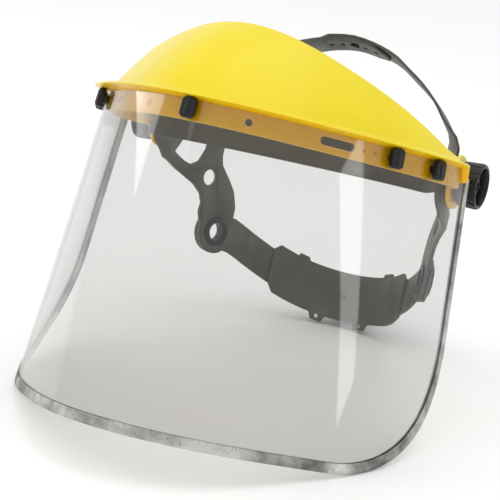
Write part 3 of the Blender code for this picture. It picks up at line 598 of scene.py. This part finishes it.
def shellColumn(s):      # one closed section: up the outside, over the rim, down the inside
    sizes = shellSizes
    foot, normal = guard(s)
    reach = lugReach(foot.y)
    bottom = min(-sizes["band"], pivotWorn.z - reach) if reach else -sizes["band"]
    top, bottom = rimTop(s) - sizes["softEdge"], bottom + sizes["softEdge"]
    bandRows, domeRows = sizes["bandRows"], sizes["domeRows"]
    heights = [bottom + (sizes["brimFoot"] - bottom) * k / bandRows for k in range(bandRows)]
    heights += [z * mm for _, z in brimSection]
    heights += [sizes["brimHead"] + (top - sizes["brimHead"]) * (k / (domeRows - 1)) ** 1.1
                for k in range(domeRows)]
    even = [bottom + (top - bottom) * k / (len(heights) - 1) for k in range(len(heights))]
    towardsLug = ease((foot.y - 1 * mm) / (9 * mm))
    heights = [a + (b - a) * towardsLug for a, b in zip(heights, even)]
    if heights[-1] < heights[-2]:
        heights = even
    fadeFrom, fadeOver = sizes["brimFade"]
    brimEnd = guard.atY(sizes["brimEndY"])
    brim = sizes["brim"] * (1 - ease((abs(s) / brimEnd - fadeFrom) / fadeOver))
    outs = [0] * bandRows + [out * brim for out, _ in brimSection] + [0] * domeRows
    outer = [shellPoint(s, z) + normal * out for z, out in zip(heights, outs)]
    last = sizes["insideRows"] - 1
    inside = [bottom + (top - bottom) * k / last for k in range(last + 1)]
    inner = [shellPoint(s, z) - shellNormal(s, z) * sizes["wall"] for z in inside]
    rise = (outer[-1] - outer[-3]).normalized()
    fall = (outer[0] - outer[1]).normalized()
    return outer + roundEdge(outer[-1], inner[-1], rise) + inner[::-1] + roundEdge(inner[0], outer[0], fall)


def guardHoles():
    deep = 9 * mm
    shells = []

    def hole(s, z, outline, chamfer):
        point, normal = guard(s)
        levels = [(-deep, 0), (-0.35 * mm, 0), (1.2 * mm, chamfer), (deep, chamfer)]
        shells.append(placed(stacked(outline, levels), point + Vector((0, 0, z)), frameAlong(normal)))

    for angle in buttonHoles["angles"]:
        hole(guardAngle(angle), buttonHoles["z"], disc(buttonHoles["radius"], 24), 0)
    for side in (-1, 1):
        for each in bandHoles.values():
            hole(guardAngle(side * each["angle"]), each["z"], each["outline"], each["chamfer"])
        bore = stacked(disc(lugBore, 40), ((-deep, 0), (deep, 0)))
        shells.append(placed(bore, Vector((side * plan["lugHalf"], pivotWorn.y, pivotWorn.z)),
                             frameAlong(Vector((side, 0, 0)))))
    return shells


def guardShell():
    end = guard.atY(pivotWorn.y + shellSizes["lastColumn"] * shellSizes["lug"])
    shell = skinned([shellColumn(s) for s in bothSides(stationsTo(end, 96, 8, 12))])
    drill(standFor("guardShell", meshOf("guardShell", shell), "brow_guard"), guardHoles())


guardShell()
print("guard made")


# visor sheet and its rolled edging
sheetSizes = {
    "inner": 0.3 * mm, "outer": 1.3 * mm, "top": -2.6 * mm, "height": 188.7 * mm, "corner": 86 * mm,
    "endY": 3 * mm, "sideLean": 3 * mm,     # how far the side edges lean in, up to the top
    "rows": 40,
    "lastGap": 0.03 * mm,                   # the last column stops this short of the very end
}
sheetReach = sheet.atY(sheetSizes["endY"])


def sheetBottom(s):
    corner = sheetSizes["corner"]
    over = abs(s) - (sheetReach - corner)
    if over <= 0:
        return -sheetSizes["height"]
    return -sheetSizes["height"] + corner - sqrt(max(corner ** 2 - over ** 2, 0))


def sheetTop(s):
    over = abs(s) - (sheetReach - sheetSizes["sideLean"])
    if over <= 0:
        return sheetSizes["top"]
    return sheetSizes["top"] + (sheetBottom(sheetReach) - sheetSizes["top"]) * over / sheetSizes["sideLean"]


def visorSheet():
    half = stationsTo(sheetReach, 84, 4, 9)[:-1] + [sheetReach - sheetSizes["lastGap"]]
    rows = sheetSizes["rows"]
    rings = []
    for s in bothSides(half):
        low, high = sheetBottom(s), sheetTop(s)
        rise = [low + (high - low) * k / rows for k in range(rows + 1)]
        rings.append([sheetPoint(s, z, sheetSizes["outer"]) for z in rise]
                     + [sheetPoint(s, z, sheetSizes["inner"]) for z in reversed(rise)])
    piece = standFor("visorSheet", meshOf("visorSheet", skinned(rings)), "visor")
    cuts = []
    for angle in buttonHoles["angles"]:
        point, normal = guard(guardAngle(angle))
        bore = stacked(disc(buttonHoles["radius"], 24), ((-6 * mm, 0), (8 * mm, 0)))
        cuts.append(placed(bore, point + Vector((0, 0, buttonHoles["z"])), frameAlong(normal)))
    drill(piece, cuts)


trimSizes = {
    "mouth": 5.1 * mm, "wall": 0.8 * mm, "tip": -1.1 * mm, "start": -7 * mm,
    "gap": 1.6 * mm,                        # between the two walls, where the sheet sits
    "pinch": 0.3 * mm,                      # the lips close on the sheet by this much
    "endRound": 5 * mm, "endKeep": 0.35,
    "dent": 0.16 * mm,
}


def trimRun():      # points (s, z) along the sheet's edge, each with its inward direction
    corner, low = sheetSizes["corner"], -sheetSizes["height"]
    flat, top = sheetReach - corner, low + corner
    half = [(flat * k / 34, low, 0, 1) for k in range(34)]
    half += [(flat + corner * cos(a), low + corner * (1 + sin(a)), -cos(a), -sin(a))
             for a in (radians(-90 + 90 * k / 40) for k in range(41))]
    half += [(sheetReach, top + (trimSizes["start"] - top) * k / 30, -1, 0) for k in range(1, 31)]
    return [(-s, z, -ds, dz) for s, z, ds, dz in reversed(half[1:])] + half


def trimSection():      # (depth from the sheet's edge inwards, distance out)
    mouth, wall, tip = trimSizes["mouth"], trimSizes["wall"], trimSizes["tip"]
    gap, pinch = trimSizes["gap"], trimSizes["pinch"]
    lip, bend = mouth - 1.2 * mm, mouth - 1.4 * mm
    return [(mouth, pinch), (lip, 0.0), (-0.3 * mm, 0.0), (-0.3 * mm, gap), (lip, gap), (mouth, gap - pinch),
            (mouth + 0.1 * mm, gap + 0.1 * mm), (mouth - 0.1 * mm, gap + wall * 0.75), (bend, gap + wall),
            (1.2 * mm, gap + wall), (0.1 * mm, gap + wall * 0.9), (-0.7 * mm, gap + wall * 0.35),
            (tip, gap * 0.75), (tip, gap * 0.25), (-0.7 * mm, -wall * 0.35), (0.1 * mm, -wall * 0.9),
            (1.2 * mm, -wall), (bend, -wall), (mouth - 0.1 * mm, -wall * 0.75), (mouth + 0.1 * mm, -0.1 * mm)]


def edgeTrimChannel():
    run, section = trimRun(), trimSection()
    path = [sheetPoint(s, z, 0) for s, z, _, _ in run]
    walked = [0.0]
    for before, now in zip(path, path[1:]):
        walked.append(walked[-1] + (now - before).length)
    middle, endRound, endKeep = trimSizes["gap"] / 2, trimSizes["endRound"], trimSizes["endKeep"]
    rings = []
    for (s, z, ds, dz), gone in zip(run, walked):
        left = min(gone, walked[-1] - gone) / endRound
        keep = 1 if left > 1 else endKeep + (1 - endKeep) * sqrt(max(1 - (1 - left) ** 2, 0))
        ring = []
        for depth, out in section:
            depth = depth * keep if depth > 0 else depth
            dent = noise.noise(Vector((gone * 55, depth * 160, 3))) * trimSizes["dent"]
            dent = min(dent, 0) if depth < 0.2 * mm else dent
            onOutside = abs(out - middle) > 1.2 * mm
            out = middle + (out - middle) * (1 + dent / (2 * mm)) if onOutside else out
            ring.append(sheetPoint(s + ds * depth, z + dz * depth, out))
        rings.append(ring)
    standFor("edgeTrimChannel", meshOf("edgeTrimChannel", skinned(rings), 50), "edge_trim")


visorSheet()
edgeTrimChannel()
print("visor and edging made")


# turn buttons: a soft block with a grip ridge, on a stem that snaps in behind the band
buttonSizes = {
    "wide": 8.8 * mm, "high": 12 * mm, "round": 2.8 * mm, "low": 3.0 * mm, "top": 7.6 * mm,
    "stem": 2.2 * mm, "shoulder": 3.4 * mm, "ridgeWide": 2.6 * mm, "ridgeHigh": 9 * mm, "ridgeRound": 1.2 * mm,
}


def turnButton(number, angle):
    low, top = buttonSizes["low"], buttonSizes["top"]
    head = stacked(softBox(buttonSizes["wide"], buttonSizes["high"], buttonSizes["round"]), [
        (low, -0.35 * mm), (low + 0.3 * mm, -0.08 * mm), (low + 0.8 * mm, 0), (top - 1.7 * mm, -0.02 * mm),
        (top - 1.1 * mm, -0.16 * mm), (top - 0.65 * mm, -0.45 * mm), (top - 0.45 * mm, -0.9 * mm),
        (top - 0.5 * mm, -1.5 * mm)])
    ridge = stacked(softBox(buttonSizes["ridgeWide"], buttonSizes["ridgeHigh"], buttonSizes["ridgeRound"], 5), [
        (top - 1.2 * mm, 0), (top - 0.3 * mm, 0), (top - 0.08 * mm, -0.15 * mm), (top, -0.45 * mm)])
    tip = sheetSizes["inner"] - shellSizes["wall"] - 1.6 * mm
    stem, shoulder = buttonSizes["stem"], buttonSizes["shoulder"]
    post = turnedShell([(0.5 * mm, tip), (1.7 * mm, tip), (2.7 * mm, tip + 0.35 * mm),
                        (3.2 * mm, tip + 0.9 * mm), (stem, tip + 0.95 * mm), (stem, 1.6 * mm),
                        (shoulder, 1.6 * mm), (shoulder, low + 0.4 * mm), (0.5 * mm, low + 0.4 * mm)], 32)
    point, normal = guard(guardAngle(angle))
    place = point + Vector((0, 0, buttonHoles["z"])) - normal * plan["flare"] * buttonHoles["z"]
    turn = frameAlong((normal + Vector((0, 0, plan["flare"]))).normalized())
    shell = placed(joined(head, ridge, post), place, turn)
    standFor(f"turnButton{number}", meshOf("turnButton", shell, 50), f"visor_button_{number}")


for number, angle in enumerate(buttonHoles["angles"], 1):
    turnButton(number, angle)
print("buttons made")


# side knobs: a grooved cup with a hub and webs inside
knobSizes = {
    "base": 105.6 * mm, "length": 14 * mm, "grooves": 14, "groove": 0.045,
    "webs": 6, "webThick": 1.4 * mm, "webFrom": 4.9 * mm, "webTo": 11.7 * mm, "webHigh": 10.3 * mm,
}


def sideKnob(side, label):
    length = knobSizes["length"]

    def wave(a, r, z):
        if r < 12.3 * mm or not 0.8 * mm < z < length - 0.3 * mm:
            return r
        valley = max(0, cos(knobSizes["grooves"] * a)) ** 1.5
        ends = min(1, (length - 0.3 * mm - z) / (1.6 * mm))
        return r * (1 - knobSizes["groove"] * valley * ends)

    cup = turnedShell([(3.3 * mm, 0), (12.4 * mm, 0), (12.9 * mm, 0.15 * mm), (13.5 * mm, 0.7 * mm),
                       (13.8 * mm, 1.4 * mm), (13.95 * mm, 4 * mm), (14.15 * mm, 7.5 * mm),
                       (14.35 * mm, length - 2.4 * mm), (14.3 * mm, length - 1.4 * mm),
                       (14.05 * mm, length - 0.7 * mm), (13.6 * mm, length - 0.2 * mm), (13.1 * mm, length),
                       (12.5 * mm, length), (12.1 * mm, length - 0.15 * mm), (11.8 * mm, length - 0.6 * mm),
                       (11.5 * mm, 7.6 * mm), (11.1 * mm, 7.2 * mm), (3.3 * mm, 7.2 * mm), (3.3 * mm, 6 * mm),
                       (4.6 * mm, 6 * mm), (4.6 * mm, 0.8 * mm), (3.3 * mm, 0.8 * mm)], 224, wave)
    hub = turnedShell([(3.3 * mm, 7 * mm), (5.3 * mm, 7 * mm), (5.2 * mm, 9.9 * mm), (5.0 * mm, 10.4 * mm),
                       (4.6 * mm, 10.7 * mm), (3.6 * mm, 10.7 * mm), (3.3 * mm, 10.4 * mm)], 48)
    start, stop, half = knobSizes["webFrom"], knobSizes["webTo"], knobSizes["webThick"] / 2
    blade = [(start, 0.15 * mm - half), (stop, -half), (stop, half), (start, half - 0.15 * mm)]
    high = knobSizes["webHigh"]
    webs = []
    for k in range(knobSizes["webs"]):
        a = 2 * pi * k / knobSizes["webs"]
        turned = [(x * cos(a) - y * sin(a), x * sin(a) + y * cos(a)) for x, y in blade]
        webs.append(stacked(turned, ((6.9 * mm, 0), (high - 0.3 * mm, 0), (high, -0.2 * mm))))
    shell = placed(joined(cup, hub, *webs), Vector((side * knobSizes["base"], pivotWorn.y, pivotWorn.z)),
                   frameAlong(Vector((side, 0, 0))))
    standFor(f"sideKnob{label.capitalize()}", meshOf("sideKnob", shell, 42), f"pivot_knob_{label}")


sideKnob(1, "left")
sideKnob(-1, "right")
print("side knobs made")


# headgear and hardware: the CAD shapes with broken edges, widths in mm
edgeBreaks = {
    "headband": 0.55, "nape_strap_left": 0.45, "nape_strap_right": 0.45,
    "nape_cover": 0.5, "nape_housing": 0.6,
    "crown_strap_left": 0.4, "crown_strap_right": 0.4, "hub_eyelet_left": 0.25, "hub_eyelet_right": 0.25,
    "crown_peg": 0.3, "crown_stud_left": 0.3, "crown_stud_right": 0.3,
    "ratchet_knob": 0.35, "ratchet_pinion": 0.2, "ratchet_screw": 0.15,
    "friction_washer_left": 0.3, "friction_washer_right": 0.3,
    "knob_washer_left": 0.2, "knob_washer_right": 0.2, "knob_nut_left": 0.2, "knob_nut_right": 0.2,
    "pivot_screw_left": 0.25, "pivot_screw_right": 0.25,
}


def pieceName(node):
    first, *rest = node.split("_")
    return first + "".join(word.capitalize() for word in rest)


def breakEdges(node, width):
    mesh = bpy.data.meshes.new(pieceName(node))
    bm = bmesh.new()
    bm.from_mesh(frame["nodes"][node].data)
    bmesh.ops.remove_doubles(bm, verts=bm.verts, dist=2e-6)
    bmesh.ops.dissolve_limit(bm, angle_limit=radians(1.2), verts=bm.verts, edges=bm.edges)
    bm.to_mesh(mesh)
    bm.free()
    piece = standFor(pieceName(node), mesh, node)
    bevel = piece.modifiers.new("edges", "BEVEL")
    bevel.width, bevel.segments, bevel.limit_method = width, 2, "ANGLE"
    bevel.angle_limit = radians(40)
    bevel.use_clamp_overlap = True
    settle(piece, 45)


for node, width in edgeBreaks.items():
    breakEdges(node, width * mm)
print("headgear made")


# sweatband: a soft pad, crowned between its sewn edges and cross channels
padSizes = {
    "face": -2.5 * mm, "thick": 4.5 * mm, "middle": -8 * mm, "half": 12.4 * mm, "endGap": 26 * mm,
    "channels": 9, "rows": 20, "columns": 180, "thinnest": 0.14, "seamAt": 0.84, "seamWide": 0.06,
}
browBand = {"half": 98 * mm, "frontY": 6 * mm, "depth": 50 * mm, "sidesTo": 56 * mm, "sideStep": 4 * mm}


def headbandPlan():
    half, frontY, depth = browBand["half"], browBand["frontY"], browBand["depth"]
    points = [(half * sin(radians(k / 2)), frontY - depth * cos(radians(k / 2))) for k in range(181)]
    step = browBand["sideStep"]
    return PlanCurve(points + [(half, step * k) for k in range(2, round(browBand["sidesTo"] / step) + 1)])


def sweatbandPad():
    band = headbandPlan()
    reach = band.atY(pivotWorn.y) - padSizes["endGap"]
    rows, columns, fullHalf, thin = (padSizes[key] for key in ("rows", "columns", "half", "thinnest"))
    rings = []
    for k in range(columns + 1):
        s = reach * (2 * k / columns - 1) * 0.999
        past = max(0, abs(s) - (reach - fullHalf))
        half = sqrt(max(fullHalf ** 2 - past ** 2, (0.6 * mm) ** 2))
        cell = (s / reach * padSizes["channels"] / 2 + 0.5) % 1
        pinch = 0.55 + 0.45 * min(1, (sin(pi * cell) * 2.6)) ** 0.6
        fullness = pinch * (0.5 + 0.5 * half / fullHalf)
        point, normal = band(s)
        ring = []
        for j in range(rows + 1):
            v = 2 * j / rows - 1
            swell = (1 - abs(v) ** 3.2) ** 0.5
            seam = 1 - 0.35 * max(0, 1 - abs(abs(v) - padSizes["seamAt"]) / padSizes["seamWide"])
            out = padSizes["face"] - padSizes["thick"] * (thin + (1 - thin) * swell * seam * fullness)
            ring.append(point + normal * out + Vector((0, 0, padSizes["middle"] + half * v)))
        back = [point + normal * padSizes["face"] + Vector((0, 0, padSizes["middle"] + half * (1 - 2 * j / 6)))
                for j in range(7)]
        rings.append(ring + back)
    pad = standFor("sweatbandPad", meshOf("sweatbandPad", skinned(rings), 70), "sweatband")


sweatbandPad()
print("sweatband made")


# table top and light
tableLook = {"low": rgb(0.93, 0.93, 0.925), "high": rgb(0.95, 0.95, 0.95), "reach": 14.0, "drop": 0.1 * mm}
worldLook = {"colour": rgb(1, 1, 1), "strength": 0.92}
lamps = [
    {"name": "key", "place": (-0.9, -1.1, 1.7), "size": 1.6, "power": 7},
    {"name": "top", "place": (0.3, 0.3, 2.0), "size": 1.6, "power": 7},
]
lampAim = (0, 0, 0.1)

# strip lights that the sheet mirrors between two of its points (s, z)
glares = [
    {"name": "tallStrip", "from": (0.0965, -0.01), "to": (0.122, -0.15), "width": 0.10, "power": 0.42},
    {"name": "wedge", "from": (-0.052, 0.045), "to": (-0.0195, -0.02), "width": 0.20, "power": 2.0},
]
glareAway = 1.3      # from the sheet to each of them


def tableTop():
    reach, count = tableLook["reach"], 48
    rim = [(reach * cos(2 * pi * k / count), reach * sin(2 * pi * k / count), 0) for k in range(count)]
    mesh = bpy.data.meshes.new("tableTop")
    mesh.from_pydata([(0, 0, 0)] + rim, [], [(0, 1 + k, 1 + (k + 1) % count) for k in range(count)])
    table = link(bpy.data.objects.new("tableTop", mesh))
    table.location.z = cadLow.z - tableLook["drop"]
    finish = Finish("paleTable")
    clouds = finish.noise(6, 2)
    skin = finish.mix(clouds, tableLook["low"], tableLook["high"])
    mesh.materials.append(finish.close(finish.shine(Base_Color=skin, Roughness=0.6 + clouds * 0.1)))


def softLight(name, place, aim, width, height, power, upward):
    data = bpy.data.lights.new(name, "AREA")
    data.shape, data.size, data.size_y, data.energy = "RECTANGLE", width, height, power
    lamp = link(bpy.data.objects.new(name, data))
    back = (Vector(place) - Vector(aim)).normalized()
    across = upward.cross(back).normalized()
    turn = Matrix((across, back.cross(across), back)).transposed()
    lamp.matrix_world = Matrix.Translation(place) @ turn.to_4x4()


def mirrored(s, z, away):      # a point of the sheet, and where a light is seen mirrored in it
    spot = worn @ sheetPoint(s, z, sheetSizes["outer"])
    normal = (turnBack @ sheet(s)[1].to_4d()).to_3d()
    normal = (normal + wornUp * plan["flare"]).normalized()
    toEye = (camera.location - spot).normalized()
    return spot, spot + (2 * normal.dot(toEye) * normal - toEye) * away


tableTop()
for lamp in lamps:
    size = lamp["size"]
    softLight(lamp["name"], lamp["place"], lampAim, size, size, lamp["power"], Vector((0, 0, 1)))
for glare in glares:
    spotA, endA = mirrored(*glare["from"], glareAway)
    spotB, endB = mirrored(*glare["to"], glareAway)
    softLight(glare["name"], (endA + endB) / 2, (spotA + spotB) / 2, glare["width"], (endA - endB).length,
              glare["power"], endA - endB)
world = bpy.data.worlds.new("studio")
world.use_nodes = True
background = world.node_tree.nodes["Background"]
background.inputs["Color"].default_value = worldLook["colour"]
background.inputs["Strength"].default_value = worldLook["strength"]
bpy.context.scene.world = world
bpy.context.scene.view_settings.view_transform = "Standard"
print("table and lights set")
